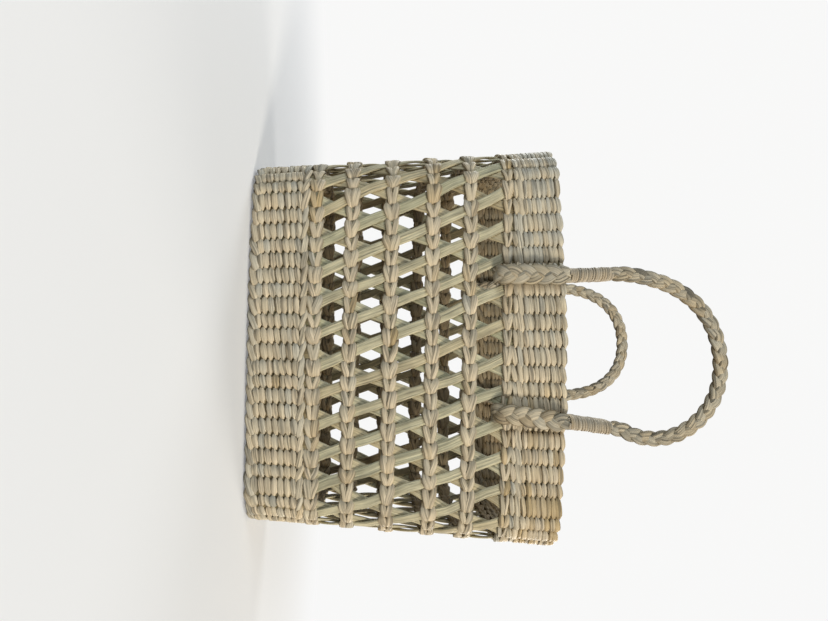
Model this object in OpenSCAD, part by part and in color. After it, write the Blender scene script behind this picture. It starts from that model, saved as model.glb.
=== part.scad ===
// Reed market bag.
// The body is twined from reed in one piece: a closed base and base band, an openwork middle of
// crossing warp reeds held by chain rows, and a closed rim band.
// Each of the two plaited handles ends in a loop round the rim band, whipped shut above the rim,
// and the bow between its two whippings swings where the single plait leaves them.
// Origin: middle of the base, on the floor. +X is right, +Y is the back, +Z is up.

/* [Body] */
// Outside width at the base
base_w = 333; // [295:1:365]
// Outside width at the mouth
mouth_w = 380; // [340:1:415]
// Outside depth at the base, at the corners
base_d = 150; // [120:1:180]
// Outside depth at the mouth, at the corners
mouth_d = 176; // [140:1:210]
// How far the front and back bow out in the middle
wall_bow = 7; // [0:1:12]
// Radius of the upright corners
corner_r = 28; // [20:1:40]
// Thickness of the woven wall and base
wall_t = 6; // [4.5:0.5:8]
// Radius of the turn from the base into the wall
base_turn_r = 10; // [6:1:14]

/* [Closed bands] */
// Height of the closed band above the base
base_band_h = 52.5; // [40:0.5:70]
// Height of the closed rim band at the sides
rim_band_h = 38.5; // [28:0.5:50]
// Extra height of the rim at the middle of the front and back
rim_crown = 7; // [0:1:20]
// Height of one weft row
weft_pitch = 5.6; // [5:0.1:8]
// Stitches in one weft row, all the way round
stitches = 68; // [48:4:72]
// Depth of the pits between stitches
stitch_pit = 1.4; // [0.5:0.1:1.8]
// How far the middle of a stitch stands out from the wall
stitch_proud = 0.9; // [0:0.1:1.2]

/* [Openwork] */
// Openwork cells round the bag
cells = 24; // [16:4:24]
// Rows of openwork cells
bays = 5; // [3:1:5]
// Height from one chain row to the next
chain_pitch = 35.5; // [30:0.5:42]
// Height of a chain row
chain_h = 13; // [9:0.5:15]
// How far a chain row stands out from the wall
chain_proud = 1.5; // [0.5:0.1:2.5]
// Width of a warp reed
warp_w = 8; // [6:0.5:10]
// How far crossing warps stand out where they lie on each other
crossing_proud = 0.8; // [0:0.1:1.4]

/* [Handles] */
// Distance between the two legs of a handle above the rim
handle_span = 138; // [120:1:150]
// How far each leg leans in from the whipping down to its loop
leg_lean = 7; // [0:1:9]
// Width of the plait
plait_w = 13; // [10:0.5:15]
// Thickness of the plait
plait_t = 10; // [8:0.5:11]
// Length of plait from one lobe to the next on the other side
plait_step = 7; // [6:0.5:10]
// How far the lobes of the plait stand to the side
plait_sway = 1; // [0:0.1:1.5]
// Clearance between a handle loop and the rim band
loop_gap = 0.4; // [0.3:0.1:1]
// Rise of the bow above its swing line, to the middle of the plait
bow_rise = 96; // [80:1:120]
// How far the rounded top of a bow runs to each side of its highest point
bow_shoulder = 52; // [40:1:60]
// Sideways lean of the front bow, to the right
front_bow_lean = 15; // [0:1:20]
// How far the front bow swells out beyond its right leg
front_bow_swell = 31; // [0:1:40]
// Sideways lean of the back bow, to the right
back_bow_lean = 4; // [0:1:20]
// How far the back bow swells out beyond its right leg
back_bow_swell = 4; // [0:1:40]

/* [Whippings] */
// Turns of reed in a whipping
whip_turns = 13; // [8:1:15]
// Height of one turn
whip_pitch = 3; // [2:0.1:4]
// Thickness of the reed wrapped round the legs
whip_t = 1.8; // [1:0.1:3]
// Clearance between a whipping and the plaits in it
whip_gap = 0.3; // [0.2:0.1:0.6]
// Height of the whipping's foot above the rim
whip_lift = 6; // [5:0.5:10]

/* [Hidden] */
reed = "#b9ab84";
plait_reed = "#a99a78";
whip_reed = "#b5a585";

// Heights of the body
first_chain_z = base_band_h + chain_h / 2;
rim_band_z = first_chain_z + bays * chain_pitch + chain_h / 2;
rim_z = rim_band_z + rim_band_h;
function chain_z(k) = first_chain_z + k * chain_pitch;

// Outline of the body: a rounded rectangle that grows with height, with bowed front and back
corner_arc = PI * corner_r / 2;
function half_w(z) = (base_w + (mouth_w - base_w) * z / rim_z) / 2;
function half_d(z) = (base_d + (mouth_d - base_d) * z / rim_z) / 2;
function quarter_length(z) = half_w(z) + half_d(z) - 2 * corner_r + corner_arc;
// 1 at the middle of the front or back, 0 at the middle of a side
function face_share(u) = pow(cos(360 * u), 2);

// Point and outward normal [x, y, nx, ny] at a share of the way from the middle of the front to
// the middle of the right side
function quarter_point(share, z) = let(
        run = share * quarter_length(z),
        front_run = half_w(z) - corner_r,
        turn = (run - front_run) / corner_r * 180 / PI
    )
    run <= front_run ? [run, -half_d(z), 0, -1]
    : turn <= 90 ? [front_run + corner_r * sin(turn), -half_d(z) + corner_r * (1 - cos(turn)),
        sin(turn), -cos(turn)]
    : [half_w(z), -half_d(z) + corner_r + run - front_run - corner_arc, 1, 0];

// The rim and the rows under it rise to a crown in the middle of the front and back
function crowned(u, z) = z + rim_crown * face_share(u) * max(0, z - rim_band_z) / rim_band_h;

// Point of the wall at fraction u round the bag from the middle of the front, at height z,
// w outwards of the outline
function wall_point(u, z, w) = let(
        turn = u - floor(u),
        quarter = floor(4 * turn),
        part = 4 * turn - quarter,
        p = quarter_point(quarter % 2 == 0 ? part : 1 - part, z),
        side = quarter < 2 ? 1 : -1,
        face = quarter == 0 || quarter == 3 ? 1 : -1
    )
    [side * (p[0] + w * p[2]), face * (p[1] + w * p[3] - wall_bow * face_share(u)), crowned(u, z)];

// How far the wall is drawn in at height z, where it turns into the base
function base_turn(z) = z < base_turn_r
    ? base_turn_r - sqrt(pow(base_turn_r, 2) - pow(base_turn_r - z, 2)) : 0;

// Rings of the wall, each [height, offset outwards, half width of solid at a crossing, bay].
// The half width is in columns, and a ring that isn't in a bay of the openwork has bay -1.
columns = 2 * cells;
function plain_ring(z, w) = [z, w, 0.5, -1];

mid_z = chain_z(bays / 2);
column_w = 4 * quarter_length(mid_z) / columns;
warp_angle = atan(column_w / chain_pitch);
crossing_half = warp_w / 2 / cos(warp_angle) / column_w;
foot_half = 0.5 + crossing_half - chain_h / chain_pitch / 2;

function bay_rings(k, w, w_crossing) = let(
        low = chain_z(k) + chain_h / 2,
        high = chain_z(k + 1) - chain_h / 2
    )
    [
        [low, w, foot_half, k],
        [(low + high) / 2, w_crossing, crossing_half, k],
        [high, w, foot_half, k]
    ];

// The openwork, from its first chain row to its last, and the plain inside of the whole wall
outer_rings = concat(
    [plain_ring(chain_z(0), chain_proud)],
    [
        for (k = [0:bays - 1])
            each concat(bay_rings(k, 0, crossing_proud), [plain_ring(chain_z(k + 1), chain_proud)])
    ]
);
inner_rings = concat(
    [plain_ring(wall_t, -wall_t - base_turn(wall_t))],
    [for (k = [0:bays - 1]) each bay_rings(k, -wall_t, -wall_t)],
    [plain_ring(rim_z, -wall_t)]
);
outer_count = len(outer_rings);
inner_count = len(inner_rings);
bay_ring_count = len(bay_rings(0, 0, 0));

// Points of a ring: each column's point lies left or right of the crossing next to it
function ring_points(ring) = [
    for (m = [0:columns - 1])
        let(place = m % 2 == abs(ring[3]) % 2 ? m + ring[2] : m + 1 - ring[2])
        wall_point(place / columns, ring[0], ring[1])
];

// Closed band: rings of pits between the weft rows, then the middles of the stitches, row by row
base_rows = round(base_band_h / weft_pitch);
rim_rows = round((rim_band_h + rim_crown) / weft_pitch);
function stitch_ring(z, w, start) = [
    for (j = [0:stitches - 1]) wall_point((j + start) / stitches, z, w - base_turn(z))
];
function band_points(z, h, rows) = [
    for (i = [0:rows]) each stitch_ring(z + h * i / rows, -stitch_pit, 0),
    for (i = [0:rows - 1]) each stitch_ring(z + h * (i + 0.5) / rows, stitch_proud, 0.5)
];

// Number of the first point of each part of the wall
open_first = (2 * base_rows + 1) * stitches;
rim_band_first = open_first + outer_count * columns;
inner_first = rim_band_first + (2 * rim_rows + 1) * stitches;
function outer_at(i, m) = open_first + i * columns + m % columns;
function inner_at(i, m) = inner_first + i * columns + m % columns;
function pit_at(first, i, j) = first + i * stitches + j % stitches;

function two_triangles(a, b, c, d) = [[a, b, c], [a, c, d]];

// Each stitch is a low pyramid of four triangles
function band_faces(first, rows) = [
    for (i = [0:rows - 1])
        for (j = [0:stitches - 1])
            let(
                pits = [
                    pit_at(first, i, j), pit_at(first, i + 1, j),
                    pit_at(first, i + 1, j + 1), pit_at(first, i, j + 1)
                ],
                middle = pit_at(first, rows + 1 + i, j)
            )
            for (c = [0:3])
                [pits[c], pits[(c + 1) % 4], middle]
];

// Triangles between two rings, each [number of its first point, points in it, start of it in steps]
function ring_strip(low, high) = [
    for (i = [0:low[1] - 1])
        let(j = max(0, ceil((i + 0.5 + low[2]) * high[1] / low[1] - 0.5 - high[2])))
        [low[0] + i, high[0] + j % high[1], low[0] + (i + 1) % low[1]],
    for (j = [0:high[1] - 1])
        let(i = max(0, floor((j + 0.5 + high[2]) * low[1] / high[1] + 0.5 - low[2])))
        [low[0] + i % low[1], high[0] + j, high[0] + (j + 1) % high[1]]
];
function pit_strip_ring(first) = [first, stitches, 0];
function column_strip_ring(first) = [first, columns, 0.5];
joining_faces = concat(
    ring_strip(pit_strip_ring(pit_at(0, base_rows, 0)), column_strip_ring(open_first)),
    ring_strip(column_strip_ring(outer_at(outer_count - 1, 0)), pit_strip_ring(rim_band_first)),
    ring_strip(
        pit_strip_ring(pit_at(rim_band_first, rim_rows, 0)), column_strip_ring(inner_at(inner_count - 1, 0))
    )
);

// A cell between two rings of one bay is solid only where the warps cross
function is_solid(low, high, m) = low[3] < 0 || low[3] != high[3] || (m + 1) % 2 == low[3] % 2;

outer_faces = [
    for (i = [0:outer_count - 2])
        for (m = [0:columns - 1])
            if (is_solid(outer_rings[i], outer_rings[i + 1], m))
                each two_triangles(
                    outer_at(i, m), outer_at(i + 1, m), outer_at(i + 1, m + 1), outer_at(i, m + 1)
                )
];
inner_faces = [
    for (i = [0:inner_count - 2])
        for (m = [0:columns - 1])
            if (is_solid(inner_rings[i], inner_rings[i + 1], m))
                each two_triangles(
                    inner_at(i, m), inner_at(i, m + 1), inner_at(i + 1, m + 1), inner_at(i + 1, m)
                )
];
// Corners of an openwork cell as [ring in the bay, column], in order round it
cell_corners = [[0, 0], [0, 1], [1, 1], [2, 1], [2, 0], [1, 0]];
gap_faces = [
    for (k = [0:bays - 1])
        for (m = [0:columns - 1])
            if ((m + 1) % 2 != k % 2)
                for (c = [0:5])
                    let(
                        p = cell_corners[c],
                        q = cell_corners[(c + 1) % 6],
                        outer = 1 + (bay_ring_count + 1) * k,
                        inner = 1 + bay_ring_count * k
                    )
                    each two_triangles(
                        outer_at(outer + p[0], m + p[1]), inner_at(inner + p[0], m + p[1]),
                        inner_at(inner + q[0], m + q[1]), outer_at(outer + q[0], m + q[1])
                    )
];
floor_faces = [
    [for (j = [0:stitches - 1]) pit_at(0, 0, j)],
    [for (m = [columns - 1:-1:0]) inner_at(0, m)]
];

module woven_body() {
    color(reed)
        polyhedron(
            points = concat(
                band_points(0, base_band_h, base_rows),
                [for (ring = outer_rings) each ring_points(ring)],
                band_points(rim_band_z, rim_band_h, rim_rows),
                [for (ring = inner_rings) each ring_points(ring)]
            ),
            faces = concat(
                floor_faces, band_faces(0, base_rows), outer_faces,
                band_faces(rim_band_first, rim_rows), inner_faces, gap_faces, joining_faces
            )
        );
}

// Place of a handle on the front wall
leg_x = handle_span / 2;
leg_u = leg_x / (4 * quarter_length(rim_z));
leg_rim_z = crowned(leg_u, rim_z);
function front_y(x, z) = -half_d(z) - wall_bow * face_share(x / (4 * quarter_length(z)));
rim_mid_y = front_y(leg_x, rim_z) + wall_t / 2;
// The two plaits in a whipping lie side by side
pinch_y = plait_t / 2 + whip_gap / 2;
whip_z = leg_rim_z + whip_lift;
whip_top_z = whip_z + whip_turns * whip_pitch;
swing_gap = 0.3;
// Line that the bows swing about
swing_y = rim_mid_y - pinch_y;
swing_z = whip_top_z + swing_gap + plait_t / 2;

// Plait swept through rings of [middle, direction across, direction through, thickness share, sway]
plait_sides = 8;
function ring_corners(ring) = [
    for (i = [0:plait_sides - 1])
        let(a = 360 * (i + 0.5) / plait_sides)
        ring[0] + ring[1] * (plait_w / 2 * cos(a) + ring[4]) + ring[2] * plait_t / 2 * ring[3] * sin(a)
];
module plait(rings) {
    last = len(rings) - 1;
    color(plait_reed)
        polyhedron(
            points = [for (ring = rings) each ring_corners(ring)],
            faces = concat(
                [[for (i = [0:plait_sides - 1]) i]],
                [[for (i = [plait_sides - 1:-1:0]) last * plait_sides + i]],
                [
                    for (r = [0:last - 1])
                        for (i = [0:plait_sides - 1])
                            let(next = (i + 1) % plait_sides, a = r * plait_sides, b = a + plait_sides)
                            each two_triangles(a + i, b + i, b + next, a + next)
                ]
            )
        );
}

// Route of the loop, in the front right: down inside the rim band, through the openwork under it,
// up outside, and up through the whipping to the swing line
turn_z = chain_z(bays) - chain_h / 2;
outer_off = -max(chain_proud, stitch_proud) - loop_gap - plait_t / 2;
inner_off = wall_t + loop_gap + plait_t / 2;
turn_r = (inner_off - outer_off) / 2;
function leg_point(z, off) = let(x = leg_x - leg_lean * max(0, leg_rim_z - z) / (leg_rim_z - turn_z))
    [x, front_y(x, min(z, rim_z)) + off, z];
leg_steps = ceil((leg_rim_z - turn_z) / plait_step);
inner_leg_steps = floor(leg_steps / 2);
function leg_height(share) = turn_z + (leg_rim_z - turn_z) * share;
turn_middle = leg_point(turn_z, (inner_off + outer_off) / 2);
loop_route = concat(
    [[leg_x, rim_mid_y + pinch_y, whip_top_z], [leg_x, rim_mid_y + pinch_y, whip_z]],
    [for (i = [inner_leg_steps:-1:1]) leg_point(leg_height(i / inner_leg_steps), inner_off)],
    [for (a = [0:45:180]) turn_middle + turn_r * [0, cos(a), -sin(a)]],
    [for (i = [1:leg_steps]) leg_point(leg_height(i / leg_steps), outer_off)],
    [[leg_x, swing_y, whip_z], [leg_x, swing_y, swing_z - plait_t / 2 - swing_gap]]
);
function unit(v) = v / norm(v);
function along(route, i) = unit(route[min(i + 1, len(route) - 1)] - route[max(i - 1, 0)]);
across = [1, 0, 0];

module handle_loop() {
    last = len(loop_route) - 1;
    plait([
        for (i = [0:last])
            let(in_whipping = i < 2 || i > last - 2)
            [loop_route[i], across, unit(cross(along(loop_route, i), across)), 1,
                in_whipping ? 0 : (i % 2 == 0 ? plait_sway : -plait_sway)]
    ]);
}

// Whipping: reed wound round the two plaits, with a groove between turns
module whipping_outline(r) {
    reach = 2 * pinch_y;
    translate([-r, -reach / 2]) square([2 * r, reach]);
    for (end = [-1, 1]) translate([0, end * reach / 2]) circle(r = r, $fn = 48);
}
module whipping() {
    bore_r = plait_w / 2 + whip_gap;
    groove_depth = whip_t / 4;
    groove_h = whip_pitch / 4;
    height = whip_turns * whip_pitch;
    color(whip_reed)
        translate([leg_x, rim_mid_y, whip_z])
            difference() {
                union() {
                    linear_extrude(height) whipping_outline(bore_r + whip_t - groove_depth);
                    for (i = [0:whip_turns - 1])
                        translate([0, 0, i * whip_pitch + groove_h / 2])
                            linear_extrude(whip_pitch - groove_h) whipping_outline(bore_r + whip_t);
                }
                translate([0, 0, -whip_pitch])
                    linear_extrude(height + 2 * whip_pitch) whipping_outline(bore_r);
            }
}

// Bow: two smooth curves that meet at its highest point, seen from the front
function bezier(p, t) = pow(1 - t, 3) * p[0] + 3 * pow(1 - t, 2) * t * p[1]
    + 3 * (1 - t) * pow(t, 2) * p[2] + pow(t, 3) * p[3];
bow_steps = 20;
// Heights of the points that pull the two legs, as shares of the rise
left_pull = 0.55;
right_pull = 0.45;
function bow_route(lean, swell) = let(
        top = [lean, bow_rise],
        shoulder = [bow_shoulder, 0],
        left = [[-leg_x, 0], [-leg_x, bow_rise * left_pull], top - shoulder, top],
        right = [top, top + shoulder, [leg_x + swell, bow_rise * right_pull], [leg_x, 0]]
    )
    concat(
        [for (i = [0:bow_steps - 1]) bezier(left, i / bow_steps)],
        [for (i = [0:bow_steps]) bezier(right, i / bow_steps)]
    );
// Each leg of the bow ends in a half round about the swing line
end_turns = [85, 45];
module bow(lean, swell) {
    route = [for (p = bow_route(lean, swell)) [p[0], swing_y, swing_z + p[1]]];
    last = len(route) - 1;
    through = [0, 1, 0];
    function end_ring(p, a, across) = [p - [0, 0, plait_t / 2 * sin(a)], across, through, cos(a), 0];
    plait(concat(
        [for (a = end_turns) end_ring(route[0], a, -across)],
        [
            for (i = [0:last])
                [route[i], unit(cross(along(route, i), through)), through, 1,
                    i == 0 || i == last ? 0 : (i % 2 == 0 ? plait_sway : -plait_sway)]
        ],
        [for (i = [len(end_turns) - 1:-1:0]) end_ring(route[last], end_turns[i], across)]
    ));
}

// A piece made for the front right, put on another corner
module on_left() { mirror([1, 0, 0]) children(); }
module on_back() { mirror([0, 1, 0]) children(); }

woven_body();
on_left() handle_loop();  // front_left_loop
handle_loop();  // front_right_loop
on_back() on_left() handle_loop();  // back_left_loop
on_back() handle_loop();  // back_right_loop
on_left() whipping();  // front_left_whipping
whipping();  // front_right_whipping
on_back() on_left() whipping();  // back_left_whipping
on_back() whipping();  // back_right_whipping
bow(front_bow_lean, front_bow_swell);  // front_bow
on_back() bow(back_bow_lean, back_bow_swell);  // back_bow
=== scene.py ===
"""Looks of the reed market bag: every reed is swept along its own path through the weave.

All lengths are in metres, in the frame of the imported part: +X right, +Y back, +Z up, floor at 0.
"""
import math

import bpy
import numpy as np
from mathutils import Matrix, Vector


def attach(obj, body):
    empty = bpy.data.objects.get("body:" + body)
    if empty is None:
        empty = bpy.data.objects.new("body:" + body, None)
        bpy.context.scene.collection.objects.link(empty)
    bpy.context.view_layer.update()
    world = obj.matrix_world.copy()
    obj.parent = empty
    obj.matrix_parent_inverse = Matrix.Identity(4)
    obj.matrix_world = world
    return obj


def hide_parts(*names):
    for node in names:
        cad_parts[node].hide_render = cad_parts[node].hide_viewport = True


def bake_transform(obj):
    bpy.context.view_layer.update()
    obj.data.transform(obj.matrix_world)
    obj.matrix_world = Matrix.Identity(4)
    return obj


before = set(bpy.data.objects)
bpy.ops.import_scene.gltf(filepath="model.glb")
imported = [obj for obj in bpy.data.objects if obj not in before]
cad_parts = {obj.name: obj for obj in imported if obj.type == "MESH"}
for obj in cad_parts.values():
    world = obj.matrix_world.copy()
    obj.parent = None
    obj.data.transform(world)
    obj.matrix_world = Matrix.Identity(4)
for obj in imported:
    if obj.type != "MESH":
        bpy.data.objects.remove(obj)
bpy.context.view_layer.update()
rng = np.random.default_rng(7)

# Sizes of the body, as in the part's source, but with rounder corners
BASE_W, MOUTH_W = 0.333, 0.380
BASE_D, MOUTH_D = 0.150, 0.176
WALL_BOW = 0.007
WALL_T = 0.006
CORNER_R = 0.037
BASE_TURN_R = 0.010
RIM_BAND_Z, RIM_Z, RIM_CROWN = 0.243, 0.2815, 0.007
# The rim of the bag in the photo is this much higher at its right end and lower at its left end
RIM_TILT = 0.003
FIRST_CHAIN_Z, CHAIN_PITCH, CHAIN_H, BAYS = 0.059, 0.0355, 0.013, 5

# The weave
CELLS = 34
WARPS = 2 * CELLS
# The rows of the bag in the photo lie a little above or below even ones
CHAIN_UNEVEN = (0.0014, -0.0022, -0.0015, 0.0008, -0.0004, -0.0018)
# The highest row is worked tighter than the others
CHAIN_WIDTH = (1.0, 1.0, 1.0, 1.0, 1.0, 0.7)
# How far each warp stands off its even place, in warps
WARP_UNEVEN = np.clip(np.random.default_rng(11).normal(0, 0.08, WARPS), -0.14, 0.14)
WALL_MID = -WALL_T / 2
# The highest row of the rim band, where the warps end too
LAST_ROW_Z = RIM_Z - 0.0022
# Half widths and thicknesses of the warps in the openwork, the warps in the bands and the weft
OUTER_WARP_HALF_W, INNER_WARP_HALF_W, WARP_HALF_T = 0.0047, 0.0045, 0.0013
BAND_WARP_HALF_W, BAND_WARP_HALF_T = 0.0095, 0.0008
WEFT_HALF_W, WEFT_HALF_T = 0.0031, 0.0015
# How far the weft goes out and in as it passes the warps, and how far warps lie out or in where they cross
WEFT_REACH = 0.0027
WARP_LIFT = 0.0016
STITCH_STEPS = 7
REED_SIDES = 8
FOLD_RIDGES = 3

# Chance in the hand work: middle, spread, lowest and highest share of a stitch's size and of its slant
STITCH_SIZE = (1, 0.07, 0.85, 1.15)
STITCH_SLANT = (1, 0.25, 0.5, 1.5)
STITCH_TONE_SPREAD = 0.15
ROW_WANDER = 0.0004
STITCH_SQUARENESS = 0.55
# The lower this power, the longer a stitch stays out before it goes in
STITCH_BULGE_POWER = 0.55
# The higher this power, the shorter the pointed ends of a stitch
STITCH_POINT_POWER = 10
# The painted light's tint counts for less on the left side of the bag
LEFT_TINT_SHARE = 0.6

# Painted shade: how deep in the wall a reed begins to be darkened to brown, how much deeper it is all dark
# brown, and the tint it is darkened by
PAINTED_SHADE_FROM, PAINTED_SHADE_FADE = 0.0008, 0.0012
PAINTED_SHADE_TINT = (0.42, 0.38, 0.31, 1)
# How much deeper stitches and band warps count as lying, so that painted shade darkens the pits between
# stitches
STITCH_SHADE, PIT_SHADE = 0.0016, 0.0030

# The handles, as in the part's source
LEG_X = 0.069
LEG_LEAN = 0.007
PLAIT_T = 0.010
LOOP_GAP, CHAIN_PROUD = 0.0004, 0.0015
BOW_RISE, BOW_SHOULDER = 0.096, 0.052
LEFT_PULL, RIGHT_PULL = 0.55, 0.45
WHIP_TURNS, WHIP_PITCH, WHIP_LIFT, WHIP_GAP = 13, 0.003, 0.006, 0.0003
SWING_GAP = 0.0003
# The loops turn this much higher than in the part's source
TURN_LIFT = 0.003
# A strand's way from one side of the plait to the other and back, and the steps it is drawn in
PLAIT_PERIOD = 0.036
PLAIT_STEP = 0.0014


def crowned(u, z):
    """Height z at fraction u round the bag, with the crown and tilt of the rim band."""
    rise = np.clip(z - RIM_BAND_Z, 0, None) / (RIM_Z - RIM_BAND_Z)
    return z + (RIM_CROWN * np.cos(2 * np.pi * u) ** 2 + RIM_TILT * np.sin(2 * np.pi * u)) * rise


def half_sizes(z):
    """Half the width and half the depth of the body at height z."""
    share = z / RIM_Z
    return (BASE_W + (MOUTH_W - BASE_W) * share) / 2, (BASE_D + (MOUTH_D - BASE_D) * share) / 2


def perimeter(z):
    """Length round the body at height z."""
    half_w, half_d = half_sizes(z)
    return 4 * (half_w + half_d - 2 * CORNER_R + math.pi * CORNER_R / 2)


def base_turn(z):
    """How far the wall is drawn in at height z, where it turns into the base."""
    left = np.clip(BASE_TURN_R - z, 0, None)
    return BASE_TURN_R - np.sqrt(BASE_TURN_R**2 - left**2)


def wall(u, z, w):
    """Points and outward normals of the wall at fraction u round it from the front's middle, w outwards."""
    u, z, w = np.broadcast_arrays(np.asarray(u, float), np.asarray(z, float), np.asarray(w, float))
    half_w, half_d = half_sizes(z)
    turn = (u % 1.0) * 4
    quarter = np.floor(turn).astype(int)
    part = turn - quarter
    run = np.where(quarter % 2 == 0, part, 1 - part) * perimeter(z) / 4
    straight = half_w - CORNER_R
    angle = np.clip((run - straight) / CORNER_R, 0, math.pi / 2)
    after = np.clip(run - straight - math.pi * CORNER_R / 2, 0, None)
    side = np.where(quarter < 2, 1, -1)
    face = np.where((quarter == 0) | (quarter == 3), 1, -1)
    normal = np.stack([side * np.sin(angle), -face * np.cos(angle), np.zeros_like(z)], -1)
    bow = WALL_BOW * np.cos(2 * np.pi * u) ** 2
    x = side * (np.minimum(run, straight) + CORNER_R * np.sin(angle))
    y = face * (-half_d + CORNER_R * (1 - np.cos(angle)) + after - bow)
    points = np.stack([x, y, crowned(u, z)], -1) + normal * (w - base_turn(z))[..., None]
    return points, normal


def round_the_bag(place, values):
    """What values, one for each warp, come to at a place counted in warps."""
    return np.interp(place % WARPS, np.arange(WARPS + 1), np.append(values, values[0]))


def column(place):
    """Fraction round the bag of a place counted in warps."""
    place = np.asarray(place, float)
    return (place + round_the_bag(place, WARP_UNEVEN)) / WARPS


def chain_height(k):
    """Height of chain row k, also between rows."""
    rows = np.arange(BAYS + 1)
    return np.interp(k, rows, FIRST_CHAIN_Z + CHAIN_PITCH * rows + CHAIN_UNEVEN)


def unit(v):
    """Vectors of length 1 in the directions of v."""
    return v / np.linalg.norm(v, axis=-1, keepdims=True)


class Strands:
    """Reeds swept along paths and gathered into one mesh, each vertex with a tone and a grain coordinate."""

    def __init__(self):
        self.points, self.faces, self.tones, self.grains, self.insides = [], [], [], [], []
        self.count = 0

    def add(self, path, out, half_w, half_t, tone, closed=False, sides=REED_SIDES, squareness=1.0, folds=0.0,
            depth=1.0, edge=0.0):
        """One reed along a path, with a flat side facing out.

        A squareness under 1 makes its section boxier. folds is how high the ridges along it are, as a share
        of its thickness, depth is how far out from the middle of the wall it counts as lying for the painted
        shade, which darkens it the deeper it lies, and edge is how much painted shade darkens its edges.
        """
        n = len(path)
        if closed:
            along = np.roll(path, -1, 0) - np.roll(path, 1, 0)
        else:
            along = np.gradient(path, axis=0)
        along = unit(along)
        across = unit(np.cross(along, out))
        up = np.cross(across, along)
        half_w = np.broadcast_to(half_w, n).copy()
        half_t = np.broadcast_to(half_t, n).copy()
        tone = np.broadcast_to(tone, n)
        depth = np.broadcast_to(depth, n)
        length = np.concatenate([[0], np.cumsum(np.linalg.norm(np.diff(path, axis=0), axis=1))])
        if not closed:
            closing = 0.02
            path = np.concatenate([path[:1], path, path[-1:]])
            across = np.concatenate([across[:1], across, across[-1:]])
            up = np.concatenate([up[:1], up, up[-1:]])
            half_w = np.concatenate([half_w[:1] * closing, half_w, half_w[-1:] * closing])
            half_t = np.concatenate([half_t[:1] * closing, half_t, half_t[-1:] * closing])
            tone = np.concatenate([tone[:1], tone, tone[-1:]])
            depth = np.concatenate([depth[:1], depth, depth[-1:]])
            length = np.concatenate([length[:1], length, length[-1:]])
            n += 2
        angle = 2 * np.pi * (np.arange(sides) + 0.5) / sides - np.pi / 2
        flat, thick = np.cos(angle), np.sin(angle)
        flat = np.sign(flat) * np.abs(flat) ** squareness
        ridged = 1 + folds * np.cos(FOLD_RIDGES * np.pi * flat)
        thick = np.sign(thick) * np.abs(thick) ** squareness * ridged
        rings = (
            path[:, None, :]
            + across[:, None, :] * (half_w[:, None] * flat)[..., None]
            + up[:, None, :] * (half_t[:, None] * thick)[..., None]
        )
        ring = np.arange(n if closed else n - 1)
        a = ring[:, None] * sides + np.arange(sides)
        b = ring[:, None] * sides + (np.arange(sides) + 1) % sides
        total = n * sides
        quads = np.stack([a, b, (b + sides) % total, (a + sides) % total], -1).reshape(-1, 4)
        self.points.append(rings.reshape(-1, 3))
        self.faces.append(quads + self.count)
        self.tones.append(np.repeat(tone, sides))
        grain = np.stack(
            [
                half_w[:, None] * flat,
                np.repeat(length[:, None], sides, 1),
                half_t[:, None] * thick + rng.uniform(0, 1),
            ],
            -1,
        )
        self.grains.append(grain.reshape(-1, 3))
        # Painted shade: the deeper a face lies in the wall, the darker and browner it is made, and edge
        # darkens its sides
        inwards = -(depth[:, None] + half_t[:, None] * thick)
        inside = np.clip((inwards - PAINTED_SHADE_FROM) / PAINTED_SHADE_FADE, 0, 1)
        self.insides.append(np.maximum(inside, edge * (1 - np.abs(thick))).ravel())
        self.count += total

    def build(self, name, material):
        """An object with all reeds added so far."""
        points = np.concatenate(self.points).astype(np.float32)
        faces = np.concatenate(self.faces).astype(np.int32)
        mesh = bpy.data.meshes.new(name)
        mesh.vertices.add(len(points))
        mesh.vertices.foreach_set("co", points.ravel())
        mesh.loops.add(faces.size)
        mesh.loops.foreach_set("vertex_index", faces.ravel())
        mesh.polygons.add(len(faces))
        mesh.polygons.foreach_set("loop_start", np.arange(0, faces.size, 4, dtype=np.int32))
        mesh.polygons.foreach_set("loop_total", np.full(len(faces), 4, dtype=np.int32))
        mesh.polygons.foreach_set("use_smooth", np.ones(len(faces), dtype=bool))
        mesh.update(calc_edges=True)
        tone = mesh.attributes.new("tone", "FLOAT", "POINT")
        tone.data.foreach_set("value", np.concatenate(self.tones).astype(np.float32))
        inside = mesh.attributes.new("inside", "FLOAT", "POINT")
        inside.data.foreach_set("value", np.concatenate(self.insides).astype(np.float32))
        grain = mesh.attributes.new("grain", "FLOAT_VECTOR", "POINT")
        grain.data.foreach_set("vector", np.concatenate(self.grains).astype(np.float32).ravel())
        mesh.materials.append(material)
        obj = bpy.data.objects.new(name, mesh)
        bpy.context.scene.collection.objects.link(obj)
        return obj


def srgb(r, g, b):
    """A colour read as 0 to 255 screen values, as the linear values a shader takes."""
    def linear(c):
        c /= 255
        return c / 12.92 if c <= 0.04045 else ((c + 0.055) / 1.055) ** 2.4
    return (linear(r), linear(g), linear(b), 1.0)


def stretched_noise(nodes, links, grain, across, along, detail):
    """Noise on a reed: across and along are how fine it is in the two directions."""
    stretch = nodes.new("ShaderNodeMapping")
    stretch.inputs["Scale"].default_value = (across, along, across)
    links.new(grain.outputs["Vector"], stretch.inputs["Vector"])
    noise = nodes.new("ShaderNodeTexNoise")
    noise.inputs["Scale"].default_value = 1.0
    noise.inputs["Detail"].default_value = detail
    links.new(stretch.outputs["Vector"], noise.inputs["Vector"])
    return noise


def noise_shade(nodes, links, noise, low, high, darkest, lightest):
    """A factor for the colour that runs from darkest to lightest as the noise runs from low to high."""
    shade = nodes.new("ShaderNodeMapRange")
    shade.inputs["From Min"].default_value = low
    shade.inputs["From Max"].default_value = high
    shade.inputs["To Min"].default_value = darkest
    shade.inputs["To Max"].default_value = lightest
    links.new(noise.outputs["Fac"], shade.inputs["Value"])
    return shade


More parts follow.
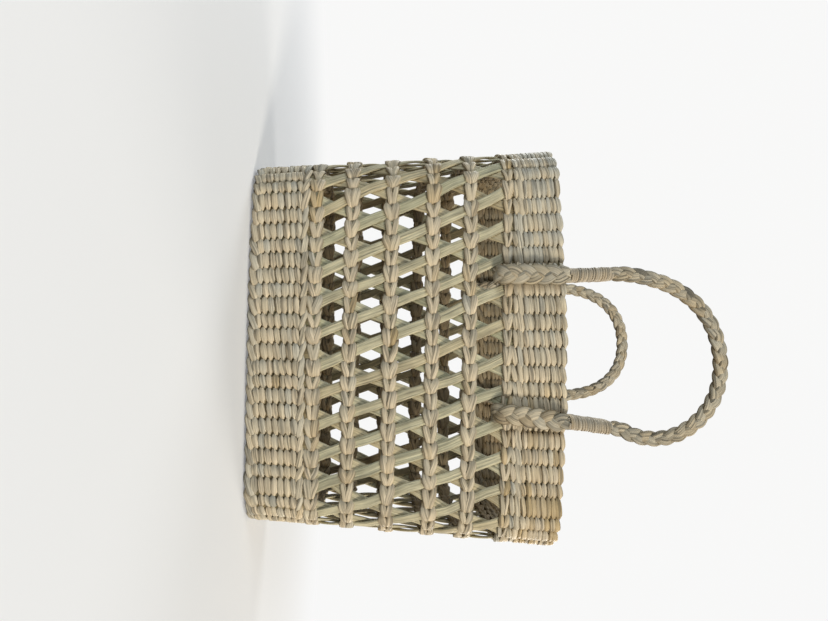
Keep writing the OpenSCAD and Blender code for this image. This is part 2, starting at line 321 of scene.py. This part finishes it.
def reed_material(name, colours, plain, fold_shade):
    """Dry reed: a colour for each tone, painted shade in its folds, fine fibres, bumps that follow them, and
    painted shade where it lies deep.
    """
    material = bpy.data.materials.new(name)
    material.use_nodes = True
    nodes, links = material.node_tree.nodes, material.node_tree.links
    shader = nodes["Principled BSDF"]
    shader.inputs["Base Color"].default_value = plain
    shader.inputs["Roughness"].default_value = 0.6
    shader.inputs["Specular IOR Level"].default_value = 0.3

    tone = nodes.new("ShaderNodeAttribute")
    tone.attribute_name = "tone"
    ramp = nodes.new("ShaderNodeValToRGB")
    while len(ramp.color_ramp.elements) < len(colours):
        ramp.color_ramp.elements.new(0.5)
    for i, colour in enumerate(colours):
        ramp.color_ramp.elements[i].position = i / (len(colours) - 1)
        ramp.color_ramp.elements[i].color = colour
    links.new(tone.outputs["Fac"], ramp.inputs["Fac"])

    grain = nodes.new("ShaderNodeAttribute")
    grain.attribute_name = "grain"
    folds = stretched_noise(nodes, links, grain, across=520, along=16, detail=1.0)
    fibres = stretched_noise(nodes, links, grain, across=1500, along=50, detail=2.0)
    patches = stretched_noise(nodes, links, grain, across=70, along=70, detail=2.0)
    colour = ramp.outputs["Color"]
    # Painted shade darkens the folds' creases, where their bump runs low; the fibres and patches are the
    # reed's own colour
    for shade in (
        noise_shade(nodes, links, folds, low=0.34, high=0.50, darkest=1 - fold_shade, lightest=1.0),
        noise_shade(nodes, links, fibres, low=0.30, high=0.70, darkest=0.70, lightest=1.20),
        noise_shade(nodes, links, patches, low=0.30, high=0.70, darkest=0.84, lightest=1.10),
    ):
        tint = nodes.new("ShaderNodeVectorMath")
        tint.operation = "SCALE"
        links.new(colour, tint.inputs[0])
        links.new(shade.outputs["Result"], tint.inputs["Scale"])
        colour = tint.outputs["Vector"]
    # Painted shade: the colour is multiplied by a dark brown where a reed lies deep in the wall, in the pits
    # and along its edges
    inside = nodes.new("ShaderNodeAttribute")
    inside.attribute_name = "inside"
    painted_shade_mix = nodes.new("ShaderNodeMix")
    painted_shade_mix.data_type = "RGBA"
    painted_shade_mix.blend_type = "MULTIPLY"
    painted_shade_mix.inputs["B"].default_value = PAINTED_SHADE_TINT
    links.new(inside.outputs["Fac"], painted_shade_mix.inputs["Factor"])
    links.new(colour, painted_shade_mix.inputs["A"])
    links.new(painted_shade_mix.outputs["Result"], shader.inputs["Base Color"])

    fold_bump = nodes.new("ShaderNodeBump")
    fold_bump.inputs["Strength"].default_value = 0.9
    fold_bump.inputs["Distance"].default_value = 0.0012
    links.new(folds.outputs["Fac"], fold_bump.inputs["Height"])
    fibre_bump = nodes.new("ShaderNodeBump")
    fibre_bump.inputs["Strength"].default_value = 0.5
    fibre_bump.inputs["Distance"].default_value = 0.0005
    links.new(fibres.outputs["Fac"], fibre_bump.inputs["Height"])
    links.new(fold_bump.outputs["Normal"], fibre_bump.inputs["Normal"])
    links.new(fibre_bump.outputs["Normal"], shader.inputs["Normal"])
    return material


# Colours of the reeds, from the greyest tone to the warmest
WEFT_COLOURS = [
    srgb(179, 174, 157), srgb(203, 195, 174), srgb(209, 194, 164), srgb(214, 198, 169), srgb(192, 169, 126),
]
WARP_COLOURS = [srgb(175, 171, 139), srgb(196, 189, 157), srgb(193, 180, 145), srgb(178, 162, 125)]
PLAIT_COLOURS = [srgb(164, 156, 136), srgb(196, 186, 163), srgb(198, 183, 153), srgb(172, 154, 123)]
WHIP_COLOURS = [srgb(162, 153, 134), srgb(181, 170, 149), srgb(183, 167, 140), srgb(168, 151, 122)]
weft_reed = reed_material("weft_reed", WEFT_COLOURS, srgb(190, 176, 148), fold_shade=0.5)
warp_reed = reed_material("warp_reed", WARP_COLOURS, srgb(190, 184, 150), fold_shade=0.32)
plait_reed = reed_material("plait_reed", PLAIT_COLOURS, srgb(180, 166, 138), fold_shade=0.6)
whip_reed = reed_material("whip_reed", WHIP_COLOURS, srgb(182, 168, 142), fold_shade=0.3)


def each_stitch(stitch, middle, spread, low, high):
    """A value that changes by chance from stitch to stitch along a weft strand."""
    return np.clip(rng.normal(middle, spread, WARPS), low, high)[stitch]


def weft_row(strands, z, twist, rise, count=2, reach=WEFT_REACH, half_w=WEFT_HALF_W, middle=0.5, over=None,
             tint=0.0, taper=0.65, shade=STITCH_SHADE, edge=0.22):
    """A row of twining: count strands that wind about each other, one stitch over each warp.

    twist is 1 or -1, the way the stitches slant, and rise is how far they slant. reach is how far a strand
    goes out and in, half_w is half its width, and middle is its usual tone. over, where given, holds for
    each warp how much fatter the stitch over it is. tint is painted light: it makes the tone go from a
    little grey on the left side of the bag, where the cool lamp falls, to warm on the right, where the warm
    lamp falls.
    taper is the share of its width that a stitch loses at its ends, shade is how much deeper the stitches
    count as lying for the painted shade, and edge is how much painted shade darkens their edges.
    """
    # A row starts and ends near the middle of the back
    steps = WARPS * STITCH_STEPS
    place = WARPS / 2 + np.arange(steps) / STITCH_STEPS
    u = column(place + 0.5)
    to_right = np.sin(2 * np.pi * u)
    row_z = z + round_the_bag(place, rng.normal(0, ROW_WANDER, WARPS))
    for strand in range(count):
        angle = 2 * np.pi * (place - strand) / count
        stitch = np.round((place - strand) / count).astype(int) % WARPS
        bulge = np.sign(np.cos(angle)) * np.abs(np.cos(angle)) ** STITCH_BULGE_POWER
        fat = each_stitch(stitch, *STITCH_SIZE)
        if over is not None:
            fat = fat * over[np.round(place).astype(int) % WARPS]
        depth = reach * bulge * fat
        slant = twist * rise * each_stitch(stitch, *STITCH_SLANT) * np.sin(angle)
        points, out = wall(u, row_z + slant, WALL_MID + depth)
        width = half_w * (1 - taper * np.sin(angle) ** STITCH_POINT_POWER) * fat
        tones = each_stitch(stitch, middle, STITCH_TONE_SPREAD, 0, 1)
        # Painted light: the tint makes the tone greyer on the left side and warmer on the right, as the cool
        # and warm lamps fall
        tones = np.clip(tones + tint * np.maximum(to_right, LEFT_TINT_SHARE * to_right), 0, 1)
        strands.add(points, out, width, WEFT_HALF_T, tones, closed=True, squareness=STITCH_SQUARENESS,
                    depth=depth - shade, edge=edge)


def base_band(material):
    """Closed band above the base: a rope-like wale on the base edge, plain twining, and a second wale."""
    strands = Strands()
    edge_z, first_row_z, row_pitch, wale_z = 0.0056, 0.0108, 0.0057, 0.0503
    rows = 7
    weft_row(strands, edge_z, twist=1, rise=0.0022, count=3, reach=0.0030, half_w=0.0032, middle=0.45)
    for i in range(rows):
        weft_row(strands, first_row_z + i * row_pitch, twist=1, rise=0.0007)
    weft_row(strands, wale_z, twist=-1, rise=0.0017, count=3, half_w=0.0027)
    return strands.build("base_band_weave", material)


def rim_band(material):
    """Closed band under the mouth: a slim row, a flat wale and plain twining up to the scalloped edge."""
    strands = Strands()
    slim_row_z, wale_z, first_row_z = RIM_BAND_Z - 0.0014, RIM_BAND_Z + 0.0027, RIM_BAND_Z + 0.0072
    rows = 8
    weft_row(strands, slim_row_z, twist=1, rise=0.0008, half_w=0.0025)
    weft_row(strands, wale_z, twist=1, rise=0.0010, count=3, reach=0.0023, half_w=0.0029)
    # The rim's rows get painted light, greyer on the left and warmer on the right
    for z in np.linspace(first_row_z, LAST_ROW_Z, rows):
        weft_row(strands, z, twist=1, rise=0.0006, half_w=0.0028, tint=0.42, taper=0.56)
    return strands.build("rim_band_weave", material)


def chain_rows(material):
    """Two twined rows of opposite slant, side by side, make each chain of the openwork."""
    strands = Strands()
    half_apart, rise, half_w = 0.0026, 0.0014, 0.0033
    fat_over_outer, fat_over_inner = 1.20, 0.86
    for k in range(BAYS + 1):
        z = chain_height(k)
        outer_warp = (np.arange(WARPS) + k) % 2 == 1
        over = np.where(outer_warp, fat_over_outer, fat_over_inner)
        width = CHAIN_WIDTH[k]
        # The chain stitches get painted shade where they lie deeper and along their edges
        for half, twist in ((-1, 1), (1, -1)):
            weft_row(strands, z + half * half_apart * width, twist, rise * width, half_w=half_w * width,
                     middle=0.65, over=over, taper=0.3, shade=0.0012, edge=0.65)
    return strands.build("chain_weave", material)


def warps(material):
    """Warp reeds: upright in the closed bands, crossing in the openwork, where one set lies outside."""
    strands = Strands()
    bay_steps, band_steps = 10, 8
    low_z, first_z, last_z = 0.002, chain_height(0), chain_height(BAYS)
    wander_spread, tone_middle, tone_spread = 0.035, 0.45, 0.25
    bay = np.linspace(0, BAYS, BAYS * bay_steps + 1)
    below = np.linspace(low_z, first_z, band_steps, endpoint=False)
    above = np.linspace(last_z, LAST_ROW_Z, band_steps + 1)[1:]
    z = np.concatenate([below, chain_height(bay), above])
    in_band = (z < first_z) | (z > last_z)
    # Within this much of the first and the last chain the reeds go from wide and thin to narrow and thick
    change = 0.004
    edges = [first_z - change, first_z + change, last_z - change, last_z + change]
    half_t = np.interp(z, edges, [BAND_WARP_HALF_T, WARP_HALF_T, WARP_HALF_T, BAND_WARP_HALF_T])
    outer_set = (-1, -0.5, WARP_LIFT, OUTER_WARP_HALF_W)
    inner_set = (1, 0.5, -WARP_LIFT, INNER_WARP_HALF_W)
    for lean, first_place, lift, usual_half_w in (outer_set, inner_set):
        depth = np.pad(lift * np.sin(np.pi * (bay % 1.0)), band_steps)
        for i in range(CELLS):
            wander = np.concatenate([[0], rng.normal(0, wander_spread, BAYS - 1), [0]])
            place = 2 * i + first_place + lean * bay + np.interp(bay, np.arange(BAYS + 1), wander)
            place = np.pad(place, band_steps, mode="edge")
            points, out = wall(column(place), z, WALL_MID + depth)
            open_half_w = usual_half_w * rng.uniform(0.9, 1.1)
            half_w = np.interp(z, edges, [BAND_WARP_HALF_W, open_half_w, open_half_w, BAND_WARP_HALF_W])
            tone = np.clip(rng.normal(tone_middle, tone_spread), 0, 1)
            # The band warps count as lying deeper, so painted shade darkens them in the pits between
            # stitches
            strands.add(points, out, half_w, half_t, tone, sides=12, squareness=0.7, folds=0.11,
                        depth=depth - PIT_SHADE * in_band)
    return strands.build("warp_reeds", material)


def base_mat(material):
    """Floor of the bag: a mat of flat reeds, each over and under the ones across it."""
    strands = Strands()
    pitch, half_w, half_t, z, wave = 0.0092, 0.0044, 0.0008, 0.0030, 0.0010
    tone_middle, tone_spread = 0.5, 0.25
    edge_steps, steps_a_pitch, fewest_steps = 400, 4, 8
    # The mat ends this far in from the wall's face, and counts as lying this far in from the wall's middle,
    # so that painted shade darkens its upper side
    inset, inwards = 0.0045, 0.0012
    quarter, _ = wall(np.linspace(0, 0.25, edge_steps), z, -inset)
    xs, ys = quarter[:, 0], quarter[:, 1]
    reach_x, reach_y = xs.max(), -ys.min()
    down = np.array([0, 0, -1.0])
    for along in (0, 1):
        limit = reach_y if along == 0 else reach_x
        count = int(limit / pitch)
        for i in range(-count, count + 1):
            offset = i * pitch
            end = np.interp(-abs(offset), ys, xs) if along == 0 else -np.interp(abs(offset), xs, ys)
            steps = max(fewest_steps, int(2 * end / pitch * steps_a_pitch))
            run = np.linspace(-end, end, steps)
            height = z + wave * np.cos(np.pi * run / pitch) * (1 if (i + along) % 2 else -1)
            across = np.full(steps, offset)
            path = np.stack([run, across, height] if along == 0 else [across, run, height], -1)
            tone = np.clip(rng.normal(tone_middle, tone_spread), 0, 1)
            out = np.broadcast_to(down, path.shape)
            strands.add(path, out, half_w, half_t, tone, sides=6, depth=-inwards)
    return strands.build("base_mat", material)


def bezier(points, t):
    """Points of a cubic curve with four control points, at the shares t of its way."""
    a, b, c, d = (np.array(p) for p in points)
    t = t[:, None]
    return (1 - t) ** 3 * a + 3 * (1 - t) ** 2 * t * b + 3 * (1 - t) * t**2 * c + t**3 * d


# Places on the front handle, worked out as in the part's source
LEG_U = LEG_X / perimeter(RIM_Z)
LEG_RIM_Z = RIM_Z + RIM_CROWN * math.cos(2 * math.pi * LEG_U) ** 2
RIM_MID_Y = -MOUTH_D / 2 - WALL_BOW * math.cos(2 * math.pi * LEG_U) ** 2 + WALL_T / 2
PINCH_Y = PLAIT_T / 2 + WHIP_GAP / 2
WHIP_Z = LEG_RIM_Z + WHIP_LIFT
WHIP_TOP_Z = WHIP_Z + WHIP_TURNS * WHIP_PITCH
SWING_Y = RIM_MID_Y - PINCH_Y
SWING_Z = WHIP_TOP_Z + SWING_GAP + PLAIT_T / 2
TURN_Z = FIRST_CHAIN_Z + BAYS * CHAIN_PITCH - CHAIN_H / 2 + TURN_LIFT

# On the bag in the photo the legs of the handles don't stand quite evenly: how far each is off to the
# right at the loop, the rim, the top of the whipping, low on the bow and high on the bow. A leg is known
# by its side, -1 left or 1 right, and its face, 1 front or -1 back
LEG_MARKS = (TURN_Z, LEG_RIM_Z, WHIP_TOP_Z, SWING_Z + 0.030, SWING_Z + 0.080)
LEG_OFF = {
    (-1, 1): (-0.0030, 0.0035, 0.0008, 0.0015, 0.0),
    (1, 1): (-0.0025, -0.0025, 0.0035, 0.0020, 0.0),
    (-1, -1): (0.0, 0.0, 0.0, -0.0005, -0.0020),
    (1, -1): (0.0, 0.0, -0.0020, -0.0040, -0.0020),
}


def leg_off(side, face, z):
    """How far a leg of a handle is off to the right at height z."""
    return np.interp(z, LEG_MARKS, LEG_OFF[side, face])


def loop_route():
    """Middle line of the front right loop: from its inner end, down, out and up to the swing line."""
    leg_steps, inner_steps, outer_steps, turn_step = 20, 12, 14, 10
    # The inner end stops this much under the top of the whipping
    end_drop = 0.002
    outer_off = -CHAIN_PROUD - LOOP_GAP - PLAIT_T / 2
    inner_off = WALL_T + LOOP_GAP + PLAIT_T / 2
    turn_r = (inner_off - outer_off) / 2

    def leg(z, off):
        x = LEG_X - LEG_LEAN * np.clip(LEG_RIM_Z - z, 0, None) / (LEG_RIM_Z - TURN_Z)
        front, _ = wall(x / perimeter(z), np.minimum(z, RIM_Z), 0)
        return np.stack([x, front[:, 1] + off, z], -1)

    heights = np.linspace(TURN_Z, LEG_RIM_Z, leg_steps)[1:]
    middle = leg(np.array([TURN_Z]), (inner_off + outer_off) / 2)
    a = np.radians(np.arange(0, 180 + turn_step, turn_step))
    turn = middle + turn_r * np.stack([0 * a, np.cos(a), -np.sin(a)], -1)
    inner_z = np.linspace(WHIP_TOP_Z - end_drop, WHIP_Z, inner_steps)
    outer_z = np.linspace(WHIP_Z, SWING_Z, outer_steps)
    inner_stem = np.array([[LEG_X, RIM_MID_Y + PINCH_Y, z] for z in inner_z])
    outer_stem = np.array([[LEG_X, SWING_Y, z] for z in outer_z])
    inner_leg = leg(heights[::-1], inner_off)
    outer_leg = leg(heights, outer_off)
    return np.concatenate([inner_stem, inner_leg, turn, outer_leg, outer_stem])


def bow_route(lean, swell, rise):
    """Middle line of a front bow from its left leg to its right leg.

    lean is how far its top is off to the right, swell is how far its right side swells out, and rise is how
    high it stands above the swing line.
    """
    half_steps = 80
    t = np.linspace(0, 1, half_steps)
    left = [(-LEG_X, 0), (-LEG_X, rise * LEFT_PULL), (lean - BOW_SHOULDER, rise), (lean, rise)]
    right = [(lean, rise), (lean + BOW_SHOULDER, rise), (LEG_X + swell, rise * RIGHT_PULL), (LEG_X, 0)]
    flat = np.concatenate([bezier(left, t), bezier(right, t)[1:]])
    return np.stack([flat[:, 0], np.full(len(flat), SWING_Y), SWING_Z + flat[:, 1]], -1)


def even_route(route, thick, step, smooth):
    """The route and its thickness direction at even steps, with its corners rounded."""
    length = np.concatenate([[0], np.cumsum(np.linalg.norm(np.diff(route, axis=0), axis=1))])
    places = np.linspace(0, length[-1], int(length[-1] / step))
    both = [np.stack([np.interp(places, length, v[:, i]) for i in range(3)], -1) for v in (route, thick)]
    reach = int(smooth / step)
    window = np.hanning(2 * reach + 3)[1:-1]
    window /= window.sum()
    rounded = []
    for v in both:
        padded = np.concatenate([np.repeat(v[:1], reach, 0), v, np.repeat(v[-1:], reach, 0)])
        rounded.append(np.stack([np.convolve(padded[:, i], window, "valid") for i in range(3)], -1))
    return rounded[0], unit(rounded[1]), places


def handle(name, lean, swell, rise, face, material):
    """One plait of three strands: left loop, bow, right loop."""
    right = loop_route()[::-1]
    left = loop_route() * [-1, 1, 1]
    bow = bow_route(lean, swell, rise)
    on_left = bow[:, 0] < lean
    left[:, 0] += leg_off(-1, face, left[:, 2])
    right[:, 0] += leg_off(1, face, right[:, 2])
    bow[:, 0] += np.where(on_left, leg_off(-1, face, bow[:, 2]), leg_off(1, face, bow[:, 2]))
    route = np.concatenate([left, bow[1:-1], right])
    x_axis = np.array([1.0, 0, 0])
    thick = np.concatenate(
        [
            np.cross(unit(np.gradient(left, axis=0)), x_axis),
            np.broadcast_to([0, 1.0, 0], bow[1:-1].shape),
            np.cross(x_axis, unit(np.gradient(right, axis=0))),
        ]
    )
    rounding = 0.006
    route, thick, places = even_route(route, thick, PLAIT_STEP, rounding)
    mirror = np.array([1, face, 1])
    sideways = np.cross(unit(np.gradient(route, axis=0)), thick)
    strands = Strands()
    strand_half_w, strand_half_t, widening = 0.0043, 0.0021, 0.08
    sway, cross_over = 0.0026, 0.0014
    tone_middle, tone_spread, stretches = 0.5, 0.2, 200
    # The plait is wide over the rim band and drawn together in the whipping
    heights = [TURN_Z, LEG_RIM_Z - 0.008, WHIP_Z, WHIP_TOP_Z - 0.006, WHIP_TOP_Z + 0.001]
    spread = np.interp(route[:, 2], heights, [1.7, 1.7, 0.6, 0.6, 1.0])
    slim = np.interp(route[:, 2], heights, [1.1, 1.1, 0.75, 0.75, 1.0])
    for j in range(3):
        phase = 2 * np.pi * (places / PLAIT_PERIOD + j / 3)
        swayed = route + sideways * (sway * spread * np.sin(phase))[:, None]
        middle = swayed + thick * (cross_over * np.sin(2 * phase))[:, None]
        stretch = (phase / np.pi).astype(int) % stretches
        tones = np.clip(rng.normal(tone_middle, tone_spread, stretches), 0, 1)[stretch]
        half_w = strand_half_w * slim * (1 + widening * np.abs(np.sin(phase)))
        # Painted shade darkens the sides of each strand
        strands.add(middle * mirror, thick * mirror, half_w, strand_half_t * slim, tones, sides=12,
                    squareness=0.75, folds=0.10, edge=1.35)
    return strands.build(name, material)


def whipping(name, side, face, material):
    """Thin reed wound round the two plaits of a loop."""
    turns, turn_steps = 18, 44
    start, end = LEG_RIM_Z + 0.0008, WHIP_TOP_Z - 0.003
    radius, looseness, rim_reach = 0.0056, 0.00022, 0.0078
    reed_half_t, half_w_share = 0.0007, 0.54
    tone_middle, tone_spread = 0.5, 0.15
    turn_pitch = (end - start) / (turns + 1)
    t = np.arange(turns * turn_steps + 1) / turn_steps
    z = start + turn_pitch * (0.5 + t)
    reach = np.interp(z, [LEG_RIM_Z, WHIP_Z], [rim_reach, PINCH_Y])
    # Each turn is two round ends, at the front and the back, joined by two straight runs
    part = t % 1.0
    marks = [0, 0.2, 0.3, 0.7, 0.8, 1.0]
    angle = np.radians(np.interp(part, marks, [0, 90, 90, 270, 270, 360]))
    ends = np.interp(part, marks, [-1, -1, 1, 1, -1, -1])
    each_turn = np.arange(turns + 1)
    loose = radius + np.interp(t, each_turn, rng.normal(0, looseness, turns + 1))
    x = loose * np.sin(angle)
    y = -loose * np.cos(angle) + ends * reach
    path = np.stack([side * (LEG_X + x) + leg_off(side, face, z), face * (RIM_MID_Y + y), z], -1)
    out = unit(np.stack([side * np.sin(angle), -face * np.cos(angle), 0 * angle], -1))
    tones = np.interp(t, each_turn, np.clip(rng.normal(tone_middle, tone_spread, turns + 1), 0, 1))
    strands = Strands()
    # Painted shade darkens the sides of the reed a little
    strands.add(path, out, turn_pitch * half_w_share, reed_half_t, tones, squareness=0.7, edge=0.2)
    return strands.build(name, material)


body_pieces = [
    base_band(weft_reed),
    rim_band(weft_reed),
    chain_rows(weft_reed),
    warps(warp_reed),
    base_mat(weft_reed),
]
for piece in body_pieces:
    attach(piece, "bag")
    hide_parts("woven_body")

# Each handle's name and face, and the lean, swell and rise of its bow
HANDLES = (
    ("front", 1, 0.015, 0.028, BOW_RISE),
    ("back", -1, 0.004, 0.004, 0.092),
)
for place, face, lean, swell, rise in HANDLES:
    plait = handle(f"{place}_handle_plait", lean, swell, rise, face, plait_reed)
    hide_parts(f"{place}_bow", f"{place}_left_loop", f"{place}_right_loop")
    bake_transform(plait)
    for hand, side in (("left", -1), ("right", 1)):
        wrap = whipping(f"{place}_{hand}_wrap", side, face, whip_reed)
        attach(wrap, "bag")
        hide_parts(f"{place}_{hand}_whipping")

# The studio: colours as they are seen, the light that the paper throws back, and where the floor fades out
BACKGROUND = (0.94, 0.94, 0.935, 1)
PAPER_SEEN = (0.62, 0.62, 0.61, 1)
PAPER_BOUNCE = (0.25, 0.25, 0.25, 1)
PAPER_GLOW = 0.22
FLOOR_REACH = 12.0
FADE_FROM, FADE_TO = 0.22, 0.9


def seen_rays(nodes, links):
    """1 where a surface is seen, straight or in a reflection, 0 where its light falls on other things."""
    path = nodes.new("ShaderNodeLightPath")
    seen = path.outputs["Is Camera Ray"]
    for ray in ("Is Glossy Ray", "Is Transmission Ray"):
        either = nodes.new("ShaderNodeMath")
        either.operation = "MAXIMUM"
        links.new(seen, either.inputs[0])
        links.new(path.outputs[ray], either.inputs[1])
        seen = either.outputs["Value"]
    return seen


def times(nodes, links, a, b):
    """Node output a times b, which is a number or another node output."""
    product = nodes.new("ShaderNodeMath")
    product.operation = "MULTIPLY"
    links.new(a, product.inputs[0])
    if isinstance(b, float):
        product.inputs[1].default_value = b
    else:
        links.new(b, product.inputs[1])
    return product.outputs["Value"]


def pale_floor():
    """Pale floor that holds the bag's shadow and fades into the background further out."""
    turn = np.linspace(0, 2 * np.pi, 64, endpoint=False)
    points = [(FLOOR_REACH * math.cos(a), FLOOR_REACH * math.sin(a), 0) for a in turn]
    mesh = bpy.data.meshes.new("pale_floor")
    mesh.from_pydata(points, [], [range(len(points))])
    paper = bpy.data.materials.new("pale_paper")
    paper.use_nodes = True
    nodes, links = paper.node_tree.nodes, paper.node_tree.links
    shader = nodes["Principled BSDF"]
    shader.inputs["Roughness"].default_value = 0.9
    shader.inputs["Specular IOR Level"].default_value = 0.1
    # The paper looks pale, but throws back only the light of a grey floor, so the bag stays dark within
    seen = seen_rays(nodes, links)
    paper_colour = nodes.new("ShaderNodeMix")
    paper_colour.data_type = "RGBA"
    paper_colour.inputs["A"].default_value = PAPER_BOUNCE
    paper_colour.inputs["B"].default_value = PAPER_SEEN
    links.new(seen, paper_colour.inputs["Factor"])
    links.new(paper_colour.outputs["Result"], shader.inputs["Base Color"])
    shader.inputs["Emission Color"].default_value = (1, 1, 1, 1)
    links.new(times(nodes, links, seen, PAPER_GLOW), shader.inputs["Emission Strength"])
    place = nodes.new("ShaderNodeNewGeometry")
    distance = nodes.new("ShaderNodeVectorMath")
    distance.operation = "LENGTH"
    links.new(place.outputs["Position"], distance.inputs[0])
    fade = nodes.new("ShaderNodeMapRange")
    fade.interpolation_type = "SMOOTHSTEP"
    fade.inputs["From Min"].default_value = FADE_FROM
    fade.inputs["From Max"].default_value = FADE_TO
    links.new(distance.outputs["Value"], fade.inputs["Value"])
    far = nodes.new("ShaderNodeEmission")
    far.inputs["Color"].default_value = BACKGROUND
    blend = nodes.new("ShaderNodeMixShader")
    links.new(times(nodes, links, fade.outputs["Result"], seen), blend.inputs["Fac"])
    links.new(shader.outputs["BSDF"], blend.inputs[1])
    links.new(far.outputs["Emission"], blend.inputs[2])
    links.new(blend.outputs["Shader"], nodes["Material Output"].inputs["Surface"])
    mesh.materials.append(paper)
    obj = bpy.data.objects.new("pale_floor", mesh)
    bpy.context.scene.collection.objects.link(obj)


def area_light(name, place, aim, size, power, colour):
    """A round, soft lamp at a place, turned towards its aim."""
    light = bpy.data.lights.new(name, "AREA")
    light.shape = "DISK"
    light.size = size
    light.energy = power
    light.color = colour
    obj = bpy.data.objects.new(name, light)
    obj.location = place
    obj.rotation_mode = "QUATERNION"
    obj.rotation_quaternion = (Vector(aim) - Vector(place)).to_track_quat("-Z", "Y")
    bpy.context.scene.collection.objects.link(obj)


def lights():
    """Warm light from the right, cool light from the left, two soft lamps behind, and a pale world."""
    middle = (0, 0, 0.16)
    area_light("key", (3.6, -3.0, 2.0), middle, size=1.3, power=204, colour=(1.0, 0.93, 0.82))
    area_light("fill", (-2.4, -2.2, 1.0), middle, size=2.2, power=52, colour=(0.78, 0.89, 1.0))
    area_light("rear_right", (2.2, 1.3, 1.2), middle, size=1.2, power=36, colour=(1.0, 0.96, 0.90))
    area_light("rear_left", (-2.2, 1.3, 1.2), middle, size=1.2, power=36, colour=(0.92, 0.96, 1.0))
    world = bpy.data.worlds.new("studio")
    world.use_nodes = True
    nodes, links = world.node_tree.nodes, world.node_tree.links
    ambient = nodes["Background"]
    ambient.inputs["Color"].default_value = (0.95, 0.97, 1.0, 1)
    ambient.inputs["Strength"].default_value = 0.2
    backdrop = nodes.new("ShaderNodeBackground")
    backdrop.inputs["Color"].default_value = BACKGROUND
    blend = nodes.new("ShaderNodeMixShader")
    links.new(seen_rays(nodes, links), blend.inputs["Fac"])
    links.new(ambient.outputs["Background"], blend.inputs[1])
    links.new(backdrop.outputs["Background"], blend.inputs[2])
    links.new(blend.outputs["Shader"], nodes["World Output"].inputs["Surface"])
    bpy.context.scene.world = world


def camera():
    """Camera at the photo's viewpoint. The photo is turned a quarter, so the bag's top is on its right."""
    place = Vector((-0.0153, -0.5835, 0.1115))
    yaw, pitch, roll = math.radians(1.84), math.radians(4.41), math.radians(90 + 1.12)
    data = bpy.data.cameras.new("photo_camera")
    data.lens = 24.0
    data.sensor_width = 36.0
    data.clip_start = 0.01
    obj = bpy.data.objects.new("photo_camera", data)
    upright = Matrix.Rotation(yaw, 4, "Z") @ Matrix.Rotation(math.pi / 2 + pitch, 4, "X")
    obj.matrix_world = Matrix.Translation(place) @ upright @ Matrix.Rotation(roll, 4, "Z")
    bpy.context.scene.collection.objects.link(obj)
    bpy.context.scene.camera = obj


pale_floor()
lights()
camera()
bpy.context.scene.view_settings.view_transform = "Standard"
